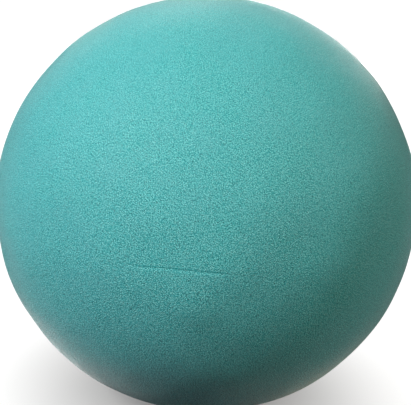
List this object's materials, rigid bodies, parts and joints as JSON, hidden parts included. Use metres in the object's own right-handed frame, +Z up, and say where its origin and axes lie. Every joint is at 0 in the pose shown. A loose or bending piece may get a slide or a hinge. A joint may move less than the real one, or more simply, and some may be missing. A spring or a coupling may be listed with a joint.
{
  "type": "silent basketball",
  "caption": "Soft teal foam ball for quiet indoor dribbling: a matte, fine-celled cover bonded round a springy foam core, resting on a small settled flat.",
  "frame": {"origin": "centre of the small flat that the ball rests on, at its lowest point", "axes": "+Z up, along the axis of the two cover halves; the seam is level"},
  "size_m": [0.24, 0.24, 0.2349],
  "materials": {
    "cover_foam": "matte",
    "cured_glue": "satin",
    "core_foam": "matte"
  },
  "bodies": {
    "root": {"upper_cover_half": "cover_foam", "lower_cover_half": "cover_foam", "seam_bond": "cured_glue", "rebound_core": "core_foam"}
  },
  "joints": []
}
